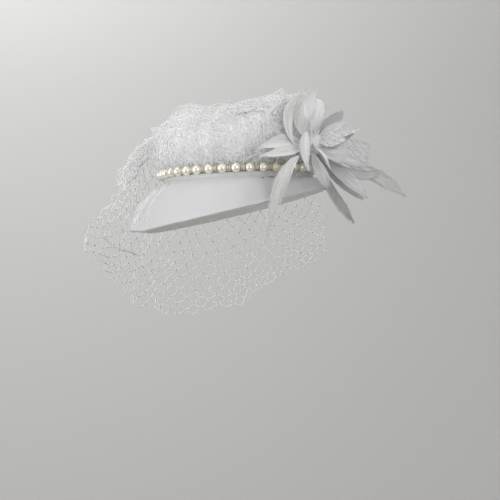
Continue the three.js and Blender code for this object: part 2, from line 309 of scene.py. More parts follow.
def bump(mat, shader, height, strength, distance, base=None, out="Fac"):
    node = add_node(mat, "Bump", Strength=strength, Distance=distance)
    link(mat, height, out, node, "Height")
    if base is not None:
        link(mat, base, "Normal", node, "Normal")
    link(mat, node, "Normal", shader, "Normal")
    return node


def satin_material():
    mat, shader = material(
        "satin", (0.80, 0.80, 0.825), 0.36, Sheen_Weight=0.35, Sheen_Roughness=0.4, Anisotropic=0.45,
    )
    place = add_node(mat, "TexCoord")
    weave_a = add_node(mat, "TexWave", Scale=900.0, Distortion=1.0)
    weave_b = add_node(mat, "TexWave", bands_direction="Z", Scale=700.0, Distortion=1.0)
    both = add_node(mat, "Math", operation="ADD")
    soft = add_node(mat, "TexNoise", Scale=38.0, Detail=3.0)
    for node in (weave_a, weave_b, soft):
        link(mat, place, "Object", node, "Vector")
    link(mat, weave_a, "Fac", both, 0)
    link(mat, weave_b, "Fac", both, 1)
    swell = bump(mat, shader, soft, 0.35, 0.0012)
    bump(mat, shader, both, 0.12, 0.0001, swell, out="Value")
    tint(mat, shader, soft, (0.60, 0.60, 0.615), (0.655, 0.655, 0.665))
    return mat


def speckled(name, low, high, roughness, scale, detail, bumps=None, **inputs):
    """A plain material whose colour drifts between two, with an optional (strength, depth) bump."""
    mat, shader = material(name, high, roughness, **inputs)
    place = add_node(mat, "TexCoord")
    grain = add_node(mat, "TexNoise", Scale=scale, Detail=detail)
    link(mat, place, "Object", grain, "Vector")
    tint(mat, shader, grain, low, high)
    if bumps:
        bump(mat, shader, grain, *bumps)
    return mat


def pearl_material(name, low, high):
    return speckled(
        name, low, high, 0.2, 260.0, 2.0, (0.05, 0.0002),
        Coat_Weight=1.0, Coat_Roughness=0.06, Metallic=0.55,
    )


def netting_material(name, through):
    """White nylon thread. The share given is how much light scatters through it."""
    return speckled(
        name, (0.93, 0.93, 0.945), (0.975, 0.975, 0.985), 0.5, 160.0, 2.0, Sheen_Weight=0.3,
        Subsurface_Weight=through, Subsurface_Scale=0.0006, Subsurface_Radius=(1.0, 1.0, 1.0),
    )


def tulle_material(name, lines, cells_cover, size, scale=330.0):
    """Fine tulle, crossed by the pale lines of the threads folded into it."""
    mat, shader = material(
        name, (0.93, 0.93, 0.945), 0.75, Sheen_Weight=0.5,
        Subsurface_Weight=0.6, Subsurface_Scale=0.004, Subsurface_Radius=(1.0, 1.0, 1.0),
    )
    place = add_node(mat, "TexCoord")
    stir = add_node(mat, "TexNoise", Scale=140.0, Detail=2.0)
    moved = add_node(mat, "VectorMath", operation="MULTIPLY_ADD")
    moved.inputs[1].default_value = (0.008, 0.008, 0.008)
    cells = add_node(mat, "TexVoronoi", feature="DISTANCE_TO_EDGE", Scale=scale)
    link(mat, place, "Object", stir, "Vector")
    link(mat, stir, "Color", moved, 0)
    link(mat, place, "Object", moved, 2)
    link(mat, moved, "Vector", cells, "Vector")
    ramp = tint(mat, shader, cells, (0.93, 0.93, 0.94), (0.895, 0.895, 0.91), out="Distance")
    ramp.color_ramp.elements[1].position = size
    cover = add_node(mat, "MapRange", From_Max=size, To_Min=lines, To_Max=cells_cover)
    link(mat, cells, "Distance", cover, "Value")
    link(mat, cover, "Result", shader, "Alpha")
    bump(mat, shader, cells, 0.08, -0.001, out="Distance")
    return mat


def streaked(name, low, high, roughness, strength, across=42.0, cover=None):
    """Feather or fine cloth, streaked along its length through the along UV map."""
    mat, shader = material(name, high, roughness)
    place = add_node(mat, "UVMap", uv_map="along")
    stretch = add_node(mat, "Mapping")
    stretch.inputs["Scale"].default_value = (across, 2.2, 1)
    streak = add_node(mat, "TexNoise", Scale=1.0, Detail=4.0, Roughness=0.6)
    link(mat, place, "UV", stretch, "Vector")
    link(mat, stretch, "Vector", streak, "Vector")
    ramp = tint(mat, shader, streak, low, high)
    ramp.color_ramp.elements[0].position = 0.32
    ramp.color_ramp.elements[1].position = 0.62
    bump(mat, shader, streak, strength, 0.0006)
    if cover:
        low, high = cover
        fade = add_node(mat, "MapRange", From_Min=0.3, From_Max=0.6, To_Min=low, To_Max=high)
        link(mat, streak, "Fac", fade, "Value")
        link(mat, fade, "Result", shader, "Alpha")
    return mat


SATIN = satin_material()
LINING = speckled(
    "lining", (0.68, 0.67, 0.65), (0.80, 0.79, 0.77), 0.85, 420.0, 4.0, (0.5, 0.0003), Sheen_Weight=0.2,
)
PEARL_FINISH = pearl_material("pearl", (0.92, 0.885, 0.76), (0.99, 0.97, 0.89))
# a darker tan copy of the pearl finish: painted shade for the pearls under the flower
PEARL_PAINTED_SHADE = pearl_material("pearl_painted_shade", (0.76, 0.68, 0.47), (0.95, 0.90, 0.75))
SPACER = speckled(
    "spacer_bead", (0.6, 0.53, 0.36), (0.84, 0.78, 0.6), 0.25, 900.0, 1.0, Metallic=0.2, Coat_Weight=0.6,
)
NETTING = netting_material("netting", 1.0)
KNOT = netting_material("netting_knot", 0.0)
TULLE = tulle_material("tulle", 1.0, 0.94, 0.12)
LOOSE_TULLE = tulle_material("loose_tulle", 0.8, 0.08, 0.09, 260.0)
PLASTIC = speckled(
    "comb_plastic", (0.79, 0.79, 0.77), (0.85, 0.85, 0.83), 0.3, 700.0, 2.0, (0.1, 0.0001), Coat_Weight=0.3,
)
GLITTER = speckled(
    "glitter", (0.94, 0.95, 0.97), (0.99, 0.985, 0.98), 0.2, 500.0, 0.0, Metallic=0.1, Coat_Weight=1.0,
)
FEATHER = streaked("feather", (0.84, 0.84, 0.835), (0.95, 0.95, 0.945), 0.62, 0.5, cover=(0.8, 1.0))
STITCH = streaked("stitch_thread", (0.16, 0.14, 0.12), (0.30, 0.27, 0.24), 0.7, 0.3)
# a darker copy of the feather cloth: painted shade for the hackle feather
FEATHER_PAINTED_SHADE = streaked("feather_painted_shade", (0.64, 0.64, 0.635), (0.76, 0.76, 0.755), 0.65, 0.4, cover=(0.75, 1.0))
PETAL = streaked("petal", (0.82, 0.82, 0.83), (0.93, 0.93, 0.94), 0.5, 0.45, 30.0, (0.8, 1.0))
# darker copies of the white petal cloth: painted shade for petals that lie in shade, the second one deeper
# painted shade
PETAL_PAINTED_SHADE = streaked("petal_painted_shade", (0.55, 0.55, 0.56), (0.74, 0.74, 0.75), 0.5, 0.45, 30.0, (0.7, 0.95))
PETAL_PAINTED_DEEP_SHADE = streaked("petal_painted_deep_shade", (0.48, 0.48, 0.48), (0.62, 0.62, 0.62), 0.5, 0.45, 30.0, (0.7, 0.95))
# grey lace threads: painted shade on white lace
LACE_PAINTED_SHADE = streaked("lace", (0.50, 0.50, 0.52), (0.74, 0.74, 0.76), 0.6, 0.2)
# the sheer cloth's see-through cover is its own; its dark grey is painted shade for the petal hanging at the
# back
SHEER_PAINTED_SHADE = streaked("sheer", (0.34, 0.34, 0.33), (0.54, 0.54, 0.53), 0.5, 0.4, 24.0, (0.35, 0.7))


# ---- the crown ----
def rim_point(angle, inset):
    y = (RIM[1] - inset) * np.sin(angle)
    sag = -RIM_SADDLE * np.cos(angle) ** 2
    curl = RIM_LIP_LIFT * smoothstep(-y, RIM_LIP_FROM, RIM[1])
    return array((RIM[0] - inset) * np.cos(angle), y, sag + curl)


def top_height(y):
    return lerp(TOP_LOW_Z, TOP_HIGH_Z, (y - (TOP_CENTRE_Y - TOP[1])) / (2 * TOP[1]))


def top_point(angle, out, up):
    y = TOP_CENTRE_Y + (TOP[1] + out) * np.sin(angle)
    return array((TOP[0] + out) * np.cos(angle), y, top_height(y) + up)


def band_point(angle, share, inset, proud=0.0):
    """A point on the side band: share 0 is the rim and 1 the top edge."""
    low, high = rim_point(angle, inset), top_point(angle, -inset, -TIP_WALL - GAP)
    belly = BAND_BELLY + BAND_BELLY_LOW * np.clip(-np.sin(angle), 0, None) ** 2
    swell = belly * np.sin(pi * np.asarray(share) ** BAND_SHOULDER) + proud
    share = np.asarray(share)[..., None]
    outward = array(np.cos(angle), np.sin(angle), 0)
    return low + (high - low) * share + outward * swell[..., None]


def side_band():
    """Satin outside, bound over the top edge and folded at the rim, and lining inside."""
    columns, hem, hem_fold, turn_under = 300, 0.075, 0.42, 0.9
    angle = circle(columns)[None]
    outer = np.concatenate([np.linspace(1, 0.12, 24), np.linspace(0.1, 0, 10)])[:, None]
    fold = hem_fold * smoothstep(hem - outer, 0, 0.02)
    pucker = waves(11, 15.0)
    flat = band_point(angle, outer, 0.0)
    ripple = pucker(flat)[..., 0] * (0.16 + 0.22 * smoothstep(0.45 - outer, 0, 0.35))
    outside = band_point(angle, outer, 0.0, fold + ripple * (outer < 0.97))
    over = [(-2.0, -0.1), (-1.6, 0.25), (-0.9, 0.45), (-0.2, 0.3), (0.3, -0.3), (0.35, -1.2)]
    bound = np.stack([top_point(angle[0], out, up) for out, up in over])
    turn = np.linspace(0, pi, 9)[1:-1, None]
    middle = BAND_WALL / 2
    under = band_point(angle, 0 * turn, middle - middle * np.cos(turn))
    under = under + array(0, 0, -turn_under * np.sin(turn))
    inside = band_point(angle, np.linspace(0, 1, 14)[:, None], BAND_WALL)
    points = np.concatenate([bound, outside, under, inside])
    shape = Shape()
    faces = grid_faces(len(points), columns, True, True)
    shape.add(from_hat(points), [f[::-1] for f in faces])
    obj = piece("side_band_cover", shape, [SATIN, LINING], ["side_band"])
    paint(obj, np.arange(len(faces)) // columns >= len(bound) + len(outer) + 5)


def crown_tip():
    """The domed satin top, rolled under at its edge, and its lining."""
    columns, edge_share, edge_drop, edge_half = 220, 0.955, 1.1, 0.55
    angle = circle(columns)[None]
    over = np.concatenate([np.linspace(0.03, 0.88, 24), np.linspace(0.9, edge_share, 5)])[:, None]
    pucker = waves(12, 17.0)

    def row(share, drop):
        y = TOP_CENTRE_Y + TOP[1] * share * np.sin(angle)
        z = top_height(y) + TIP_DOME * (1 - share * share) - drop
        return array(TOP[0] * share * np.cos(angle), y, z)

    upper = row(over, 0.0)
    upper[..., 2] -= edge_drop * smoothstep(over, 0.86, 0.95)
    upper[..., 2] += pucker(upper)[..., 2] * 0.25
    turn = np.linspace(0.15, pi - 0.15, 7)[:, None]
    edge = row(edge_share + 0.01 * np.sin(turn), edge_drop + edge_half - edge_half * np.cos(turn))
    lower = row(np.linspace(0.95, 0.03, 14)[:, None], TIP_WALL)
    points = np.concatenate([upper, edge, lower])
    shape = Shape()
    faces = tube_faces(len(points), columns, flip=False)
    shape.add(from_hat(points), faces)
    obj = piece("crown_tip_cover", shape, [SATIN, LINING], ["crown_tip"])
    under = np.arange(len(faces)) // columns >= len(over) + 6
    under[-2] = False    # the cap of the upper side
    paint(obj, under)


# ---- small marks on the band ----
STITCHES = [(25.0, 0.9), (23.2, 0.92), (17.5, 0.885)]    # degrees round the band, share of its height
CRYSTALS = dict(degrees=46.5, share=0.97, spread=3.2, count=16)


def band_marks():
    """Stitches that show under the pearls, and the crystals sewn beside the flower."""
    rng = dice(9)
    shape = Shape()
    for degrees, share in STITCHES:
        middle = band_point(np.radians([degrees, degrees + 1.3]), share, 0.0, 0.3)
        rope(shape, from_hat(lerp(middle[0], middle[1], np.linspace(0, 1, 5)[:, None])), 0.3)
    piece("band_stitches", shape, STITCH)
    shape = Shape()
    at = from_hat(band_point(np.radians(CRYSTALS["degrees"]), CRYSTALS["share"], 0.0, 0.9))
    spots = at + rng.normal(size=(CRYSTALS["count"], 3)) * CRYSTALS["spread"] * (0.5, 0.5, 0.35)
    flecks(shape, spots, rng.uniform(0.35, 0.7, len(spots)), 9)
    piece("crystals", shape, GLITTER, smooth=False)


# ---- comb ----
TEETH, TOOTH_PITCH, TOOTH_LONG = 12, 3.8, 28.0
COMB_Y, COMB_Z = 57.0, 4.8


def comb():
    shape = Shape()
    middle = (TEETH - 1) / 2
    half = middle * TOOTH_PITCH + 1.0
    x = np.linspace(-half, half, 24)
    for y in (1.6, 3.4):
        rope(shape, from_hat(array(x, COMB_Y + y, COMB_Z)), 0.95, 8)
    t = np.linspace(0, 1, 12)
    for k in range(TEETH):
        y = COMB_Y + 1.4 - t * (TOOTH_LONG + 1.4)
        rope(shape, from_hat(array((k - middle) * TOOTH_PITCH, y, COMB_Z)), lerp(0.85, 0.4, t), 8)
    piece("hair_comb_cover", shape, PLASTIC, ["hair_comb"])


# ---- pearls ----
def turned_bead(shape, middle, along, profile, around, closed=False):
    """A bead made by turning a profile of (place along the thread, radius) about the thread."""
    side = unit(np.cross(along, [0, 0, 1.0]))
    ring = ring_of(side, np.cross(side, along), around)
    points = middle + profile[:, 0, None, None] * along + profile[:, 1, None, None] * ring[None]
    rows = len(profile)
    if closed:
        faces = [f[::-1] for f in grid_faces(rows, around, True, True)]
    else:
        faces = tube_faces(rows, around)
    shape.add(points, faces)
    return len(faces)


PAINTED_SHADE_BEADS, PAINTED_SHADE_REACH = (66.0, 46.0, 30.0), 22.0     # beads near here get a darker tan finish, painted shade for the shadow under the flower


def pearl_strings():
    fine = np.linspace(0, 2 * pi, 3601)
    ring = from_hat(top_point(fine, PEARL_OUT, PEARL_UP - PEARL_SINK))
    steps = np.linalg.norm(np.diff(ring, axis=0), axis=1)
    at = np.concatenate([[0], np.cumsum(steps)])
    count = round(at[-1] / PEARL_PITCH)
    pitch = at[-1] / count
    per_string = math.ceil(count / 4)

    def place(distance):
        distance = np.asarray(distance) % at[-1]
        return array(*(np.interp(distance, at, ring[:, k]) for k in range(3)))

    rng = dice(5)
    radius = PEARL / 2
    latitude = np.linspace(0.13, pi - 0.13, 15)
    pearl = array(-radius * np.cos(latitude), radius * np.sin(latitude))
    loop = circle(8)
    spacer = array(0.66 * np.cos(loop), 1.15 + 0.72 * np.sin(loop))
    for s in range(4):
        first, last = s * per_string, min((s + 1) * per_string, count)
        shape, kinds = Shape(), []
        for i in range(first, last):
            along = unit(place(i * pitch + 0.5) - place(i * pitch - 0.5))
            tip = unit(along + rng.normal(size=3) * 0.03)
            middle = place(i * pitch) + rng.normal(size=3) * 0.1
            size = np.array([1.0, rng.uniform(0.975, 1.015)])
            # pearls near the flower take the darker tan finish, which is painted shade
            in_painted_shade = np.linalg.norm(middle - from_turned(np.array(PAINTED_SHADE_BEADS))) < PAINTED_SHADE_REACH
            kinds += [2 * int(in_painted_shade)] * turned_bead(shape, middle, tip, pearl * size, 22)
            for offset in (-0.7, 0.7):
                where = (i + 0.5) * pitch + offset
                middle = place(where) + rng.normal(size=3) * 0.06
                kinds += [1] * turned_bead(shape, middle, along, spacer, 12, closed=True)
        before = len(shape.faces)
        rope(shape, place(np.linspace(first * pitch, last * pitch, 90)), 0.32)
        kinds += [0] * (len(shape.faces) - before)
        finishes = [PEARL_FINISH, SPACER, PEARL_PAINTED_SHADE]
        obj = piece(f"pearls_{s + 1}", shape, finishes, [f"pearl_string_{s + 1}"])
        paint(obj, kinds)


# ---- netting ----
def pearl_ends():
    """The lowest and highest points of the ring of pearls, in the turned axes."""
    return [tilted(top_point(np.array(side * pi / 2), PEARL_OUT, PEARL_UP)) for side in (-1, 1)]


def pouf_point(flat, scale):
    """A point of the dome over the pearls, from its place on the dome laid flat round its peak."""
    mean = POUF_ROWS[:, :2].mean(1)
    reach = np.concatenate([[0], np.cumsum(np.hypot(np.diff(mean), np.diff(POUF_ROWS[:, 2])))])
    far = np.linalg.norm(flat, axis=1)
    angle = np.arctan2(flat[:, 1], flat[:, 0])
    far = np.clip(far / POUF_REACH, 0, 1) * reach[-1]
    x, y, up = (np.interp(far, reach, POUF_ROWS[:, k]) for k in range(3))
    low, high = pearl_ends()
    middle, half = (low[1] + high[1]) / 2, (high[1] - low[1]) / 2
    y = y * np.sin(angle) * scale
    share = y / half
    ring = lerp(low[2], high[2], (share + 1) / 2)
    up = np.where(up > 0, up * scale, up)
    z = ring + 1.2 + up * (1 + POUF_RISE * np.clip(share, 0, None) ** 1.3)
    return array(x * np.cos(angle) * scale, y + middle, z)


def net(name, half_size, steps, lay, seed, stands_for, thread, knot, jitter=0.35, cut=None):
    """Knotted netting. Its lattice is laid out flat and then put in place by lay."""
    rng = dice(seed)
    e1, e2 = np.array(steps[0], float), np.array(steps[1], float)
    n = int(2.2 * max(half_size) / min(np.linalg.norm(e1), np.linalg.norm(e2))) + 4
    i, j = np.meshgrid(np.arange(-n, n + 1), np.arange(-n, n + 1), indexing="ij")
    flat = i[..., None] * e1 + j[..., None] * e2
    keep = (np.abs(flat[..., 0]) <= half_size[0]) & (np.abs(flat[..., 1]) <= half_size[1])
    if cut is not None:
        keep &= cut(flat.reshape(-1, 2)).reshape(keep.shape)
    flat = flat + rng.normal(size=flat.shape) * jitter
    index = np.full(keep.shape, -1)
    index[keep] = np.arange(keep.sum())
    points = lay(flat[keep])
    edges = []
    for a, b in ((index[:-1], index[1:]), (index[:, :-1], index[:, 1:])):
        both = (a >= 0) & (b >= 0)
        edges.append(np.stack([a[both], b[both]], -1))
    edges = np.concatenate(edges)
    long = np.linalg.norm(points[edges[:, 0]] - points[edges[:, 1]], axis=1)
    edges = edges[long < 2.2 * np.linalg.norm(e1)]
    shape = Shape()
    radius = rng.uniform(0.85, 1.15, len(edges)) * thread
    tubes(shape, points[edges[:, 0]], points[edges[:, 1]], radius, 5)
    threads = len(shape.faces)
    knots(shape, points, knot)
    obj = piece(name, shape, [NETTING, KNOT], stands_for)
    paint(obj, np.arange(len(shape.faces)) >= threads)
    return obj


def disc(radius, step):
    """A flat disc of points in rings, and its faces."""
    rings, columns = int(radius / step), int(2 * pi * radius / step / 1.5)
    far = np.linspace(1.0, radius, rings)[:, None]
    angle = circle(columns)[None]
    points = array(far * np.cos(angle), far * np.sin(angle)).reshape(-1, 2)
    return points, grid_faces(rings, columns, wrap_columns=True)


def pouf_lay(scale, turn, gather, seed, fold, lift_by):
    """How one layer of the pouf lies: a disc gathered to the ring of pearls and folded over itself."""
    big, small, lift = waves(seed, 58.0), waves(seed + 50, 19.0), waves(seed + 90, 26.0)
    c, s = math.cos(turn), math.sin(turn)
    rng = dice(seed)
    pleats = [(k, rng.uniform(0, 6.3)) for k in (17, 29, 41)]
    reach, crowded = 100.0 * gather, 92.0

    def lay(flat):
        deep = solid_of(flat)
        far = np.linalg.norm(flat, axis=1, keepdims=True)
        loose = 1 - smoothstep(far, 0.72 * reach, 0.98 * reach)
        moved = (big(deep)[:, :2] * 5.0 + small(deep)[:, :2] * fold) * (0.25 + 0.75 * loose)
        moved = flat / gather + moved
        moved = array(c * moved[:, 0] - s * moved[:, 1], s * moved[:, 0] + c * moved[:, 1])
        now = np.maximum(np.linalg.norm(moved, axis=1, keepdims=True), 1e-6)
        want = np.where(now > crowded, crowded + (now - crowded) * 0.5, now)
        want = lerp(POUF_REACH, np.minimum(want, POUF_REACH), np.sqrt(loose))
        p = pouf_point(moved * want / now, scale)
        outward = unit(p - pouf_point(np.zeros((1, 2)), 0.2))
        angle = np.arctan2(moved[:, 1], moved[:, 0])
        gathers = sum(np.sin(k * angle + shift) for k, shift in pleats)[:, None]
        low = smoothstep(far, 0.5 * reach, 0.86 * reach)
        held = 1 - smoothstep(want, 86.0, 94.0)
        lifted = lift(deep)[:, :1] * lerp(lift_by, lift_by * 0.6, low) - 1.2 + gathers * 0.6 * low
        p = p + outward * lifted * (0.15 + 0.85 * held)
        return from_turned(p + lift(deep + 40) * 0.4 * lift_by * loose)

    return lay, reach


def pouf():
    """Two gathered discs of tulle, with looser tulle and netting caught over the upper one."""
    for number, (scale, turn, gather, seed, thread, step) in enumerate(POUF_NETS, 1):
        lay, reach = pouf_lay(scale, turn, gather, seed, 2.6, 3.0)
        net(
            f"pouf_net_{number}", (reach, reach), ((step, step * 0.7), (step, -step * 0.7)), lay, seed,
            ["veil_pouf"], thread=thread, knot=thread * 1.7, cut=lambda flat: np.hypot(*flat.T) < reach,
        )
    for number, (scale, turn, gather, seed, fold, lift_by, cloth) in enumerate(POUF_CLOTHS, 1):
        lay, reach = pouf_lay(scale, turn, gather, seed, fold, lift_by)
        flat, faces = disc(reach, 2.6)
        shape = Shape()
        shape.add(lay(flat), faces)
        obj = piece(f"pouf_tulle_{number}", shape, cloth, ["veil_pouf"])


# Each net's scale against the pouf, turn, gather, seed, thread radius and mesh step.
POUF_NETS = [
    (1.0, 0.3, 1.1, 61, 0.2, 4.4),
    (1.035, 1.7, 1.12, 64, 0.17, 5.2),
    (1.06, 2.9, 1.1, 67, 0.14, 6.0),
]
# Each cloth's scale, turn, gather, seed, fold, lift and material.
POUF_CLOTHS = [
    (0.985, 0.3, 1.1, 61, 1.8, 2.4, TULLE),
    (0.93, 1.2, 1.02, 62, 1.8, 2.2, TULLE),
    (1.04, 2.0, 1.1, 65, 2.4, 3.2, LOOSE_TULLE),
]


def head_way(angle, radius):
    return array(HEAD_MIDDLE[0] + radius * np.sin(angle), HEAD_MIDDLE[1] - radius * np.cos(angle), 0)


def hem_point(share):
    degrees = lerp(VEIL_HEM["start"], VEIL_HEM["end"], share)
    side = np.abs(degrees) / VEIL_HEM["start"]
    nose = VEIL_HEM["nose"] * np.exp(-((degrees / VEIL_HEM["nose_width"]) ** 2))
    p = head_way(np.radians(degrees), VEIL_HEM["radius"] + VEIL_HEM["flare"] * side**3 + nose)
    p[..., 2] = lerp(HEM_LOW_Z, HEM_CORNER_Z, 1 - np.cos(side * pi / 2))
    return p


def veil_top_point(share):
    angle = np.radians(lerp(VEIL_TOP["start"], VEIL_TOP["end"], share))
    low, high = pearl_ends()
    y = (low[1] + high[1]) / 2 + VEIL_TOP["y"] * np.sin(angle)
    return from_turned(array(VEIL_TOP["x"] * np.cos(angle), y, VEIL_TOP["z"]))


def veil_point(share, down):
    """A point of the face veil: share runs along the hem and down from its root to the hem."""
    top, hem = veil_top_point(share), hem_point(share)
    steps = np.linspace(0, 1, len(VEIL_FALL))
    drop = np.interp(down, steps, VEIL_FALL[:, 0])[..., None]
    out = np.interp(down, steps, VEIL_FALL[:, 1])[..., None]
    p = top + (hem - top) * out
    p[..., 2:] = top[..., 2:] + (hem - top)[..., 2:] * drop
    return p


VEIL_LONG, VEIL_DEEP = 290.0, 140.0
# The loose upper folds of the veil: how much of its width and depth they take, their flat size, and
# how far they stand off it.
FOLDS = dict(share=0.36, down=0.46, wide=104.0, deep=66.0, away=2.5, seed=71)
# Bundles of threads pulled together: share and down at both ends, and the thread radius.
BUNDLES = [
    ((0.31, 0.06), (0.03, 0.5), 0.26),
    ((0.27, 0.12), (0.1, 0.4), 0.2),
    ((0.05, 0.66), (0.17, 0.6), 0.24),
    ((0.07, 0.75), (0.27, 0.66), 0.24),
    ((0.2, 0.1), (0.05, 0.3), 0.18),
    ((0.0, 0.98), (0.03, 0.86), 0.3),
]


def shares(flat, wide, deep):
    """Places on a cloth laid flat about its middle, as shares of its width and of its depth."""
    return np.clip(flat / (wide, deep) + 0.5, 0, 1).T


def veil_lay(flutter, ripple, away=0.0, puff=0.0):
    def lay(share, down):
        p = veil_point(share, down)
        outward = unit((p - array(*HEAD_MIDDLE, 0)) * array(1, 1, 0))
        move = flutter(p) * (2.2 + puff) + ripple(p) * (0.9 + puff * 0.7)
        return p + move * smoothstep(down, 0.06, 0.4)[:, None] + outward * away

    return lay


def veil_drape():
    flutter, ripple = waves(31, 46.0), waves(32, 21.0)
    main = veil_lay(flutter, ripple)

    def whole(flat):
        return main(*shares(flat, VEIL_LONG, VEIL_DEEP))

    threads = net("veil_net", (VEIL_LONG / 2, VEIL_DEEP / 2), ((6.3, 6.3), (-6.3, 6.3)), whole, 33,
                  ["veil_drape"], thread=0.36, knot=0.62)
    extra = [veil_folds(), veil_bundles(main), satin_folds()]


def veil_folds():
    """The loose upper folds, laid out flat and then put in place."""
    seed = FOLDS["seed"]
    lay = veil_lay(waves(seed, 30.0), waves(seed + 1, 13.0), FOLDS["away"], 1.6)
    slide = waves(seed + 2, 24.0)

    def place(flat):
        moved = flat + slide(solid_of(flat))[:, :2] * 4.0
        share, down = shares(moved, FOLDS["wide"], FOLDS["deep"])
        return lay(share * FOLDS["share"], down * FOLDS["down"])

    half = (FOLDS["wide"] / 2 - 3, FOLDS["deep"] / 2 - 3)
    return net("veil_folds_1", half, ((5.4, 4.2), (-5.4, 4.2)), place, seed, ["veil_drape"],
               thread=0.17, knot=0.26, jitter=0.7)


def veil_bundles(lay):
    rng = dice(36)
    shape = Shape()
    t = np.linspace(0, 1, 22)
    for start, end, radius in BUNDLES:
        for _ in range(3):
            bow = np.sin(pi * t)[:, None] * rng.normal(size=(1, 2)) * 0.012
            at = lerp(np.array(start), np.array(end), t[:, None]) + bow + rng.normal(size=(1, 2)) * 0.004
            line = lay(*np.clip(at, 0, 1).T)
            rope(shape, line + rng.normal(size=(1, 3)) * 0.25, radius, sides=5)
    return piece("veil_bundles", shape, NETTING, ["veil_drape"])


def satin_folds():
    """Threads of the veil that lie down over the low end of the band."""
    rng = dice(37)
    shape = Shape()
    t = np.linspace(0, 1, 20)
    for _ in range(20):
        start = rng.uniform(-92, -56)
        end = start + rng.uniform(-4, 7)
        degrees = lerp(start, end, t) + rng.normal() * 2.2 * np.sin(pi * t)
        proud = 0.7 + 0.9 * np.sin(pi * t) * rng.uniform(0.3, 1.0)
        share = lerp(1.0, rng.uniform(0.0, 0.25), t**0.9)
        line = band_point(np.radians(degrees), share, 0.0, proud)
        rope(shape, from_hat(line), rng.uniform(0.1, 0.2), 4)
    return piece("veil_satin_folds", shape, NETTING, ["veil_drape"])


# ---- the flower ----
# One row for each blade: its name, the CAD piece it stands for, the point that its midline bends
# towards and the midline's tip, in the turned axes, its width, where it is widest, how blunt its tip
# is, its roll, its kind and its cloth. Some CAD pieces are shown by two or three blades.
LEAVES = """
tall_outer feather_tall 66 33 61 55 49 76.5 8 0.55 0.1 4 vane feather
tall_middle feather_tall 64 43 60 51 58 78 15 0.5 0.08 0 vane feather
tall_inner feather_tall 68 45 56 62 50 69 9.5 0.5 0.1 -6 vane feather
tall_back feather_tall 46 58.5 65.5 42 59 73.5 11 0.6 0.3 -14 leaf pale
upper petal_upper 39 65 55 35 76.5 65.5 10.5 0.6 0.25 20 leaf grey
glitter petal_glitter 46 69 49.5 42 88.5 54 6.5 0.4 0.1 10 glitter pale
glitter_low petal_glitter 52 65 45.5 50 77 46 10 0.5 0.2 0 glitter pale
back_upper petal_back_upper 42 70.5 45 40 83 51 7 0.6 0.2 0 leaf grey
lace petal_lace 50 71 41 46 93 37 16 0.85 0.9 0 lace grey
middle petal_thin_middle 56 67 37 54 81 32 14 0.6 0.3 0 leaf grey
thin_middle petal_thin_middle 57 73 33.5 54 91 28 7 0.5 0.1 0 leaf grey
thin_low petal_thin_low 36 87 15 34 103 26.5 5.5 0.6 0.1 0 leaf grey
hackle feather_hackle 28 104 22 28 115 13 11 0.62 0.12 0 plume soft
broad petal_broad 56 77 19 56 91 8 10 0.55 0.2 0 leaf grey
back_low petal_back_low 44 71 19 42 89 7.5 9 0.55 0.2 0 leaf dull
rim petal_rim 68 59 23.5 60 65.5 14.5 9 0.6 0.3 10 leaf grey
narrow petal_narrow 73 60 38 69 66 26.5 3.2 0.5 0.2 0 leaf pale
front petal_front 71 47.5 40 70 52.5 25 8 0.45 0.1 0 leaf pale
side_upper feather_side_upper 69 38 45 79 21.5 39 9.5 0.5 0.15 0 vane feather
side_lower feather_side_lower 74 40 36 83 22 33.5 7 0.5 0.15 0 vane feather
hanging feather_hanging 85 33 24 81 25 -18 8 0.45 0.1 0 wisp feather
sheer petal_sheer 43 69 6.5 37 83.5 -8 8.5 0.6 0.15 0 sheer sheer
far_upper petal_far_upper 24 64 60 10 70 62 9 0.5 0.15 0 leaf pale
far_middle petal_far_middle 18 66 44 2 74 42 9 0.5 0.15 0 leaf pale
far_low petal_far_low 20 72 34 8 80 24 8 0.5 0.15 0 leaf pale
upper_low petal_upper 41 67 53 36 79.5 60 7 0.5 0.15 10 leaf pale
""".split("\n")[1:-1]
# Blades that don't start at the flower's middle.
OTHER_ROOTS = {"front": (64, 51.5, 50), "tall_outer": (64, 43, 42), "hanging": (68, 46, 34)}
OUTWARD = unit(FLOWER - CALYX_FOOT + np.array((16.0, 0, 0)))    # the way that the flower faces


def turn_about(v, axis, degrees):
    c, s = math.cos(math.radians(degrees)), math.sin(math.radians(degrees))
    return v * c + np.cross(axis, v) * s + axis * (v * axis).sum(-1, keepdims=True) * (1 - c)


class Blade:
    """The midline of a petal or feather, with its width and the two directions across it."""

    def __init__(self, name, *numbers):
        self.mid, self.tip = np.array(numbers[:3]), np.array(numbers[3:6])
        self.root = np.array(OTHER_ROOTS.get(name, FLOWER + unit(self.mid - FLOWER) * PETAL_START), float)
        self.wide, self.at, self.blunt, self.roll = numbers[6:]

    def half(self, t):
        root = 0.16
        rising = root + (1 - root) * np.sin(np.clip(t / self.at, 0, 1) * pi / 2)
        left = np.clip((t - self.at) / (1 - self.at), 0, 1)
        falling = self.blunt + (1 - self.blunt) * np.cos(left * pi / 2)
        return self.wide / 2 * np.where(t < self.at, rising, falling)

    def frame(self, t):
        t = np.asarray(t, float)[..., None]
        middle = (1 - t) ** 2 * self.root + 2 * t * (1 - t) * self.mid + t**2 * self.tip
        along = unit(2 * (1 - t) * (self.mid - self.root) + 2 * t * (self.tip - self.mid))
        side = turn_about(unit(np.cross(along, OUTWARD)), along, self.roll)
        return middle, along, side, np.cross(side, along)

    def long(self):
        middle = self.frame(np.linspace(0, 1, 60))[0]
        return np.linalg.norm(np.diff(middle, axis=0), axis=1).sum()

    def at_point(self, t, across, rise=0.0):
        """A point on the cupped blade, across from -1 to 1."""
        middle, _, side, up = self.frame(t)
        half = self.half(t)
        cup = 0.12 * half * across**2 + rise
        return middle + side * (across * half)[..., None] + up * np.asarray(cup)[..., None]


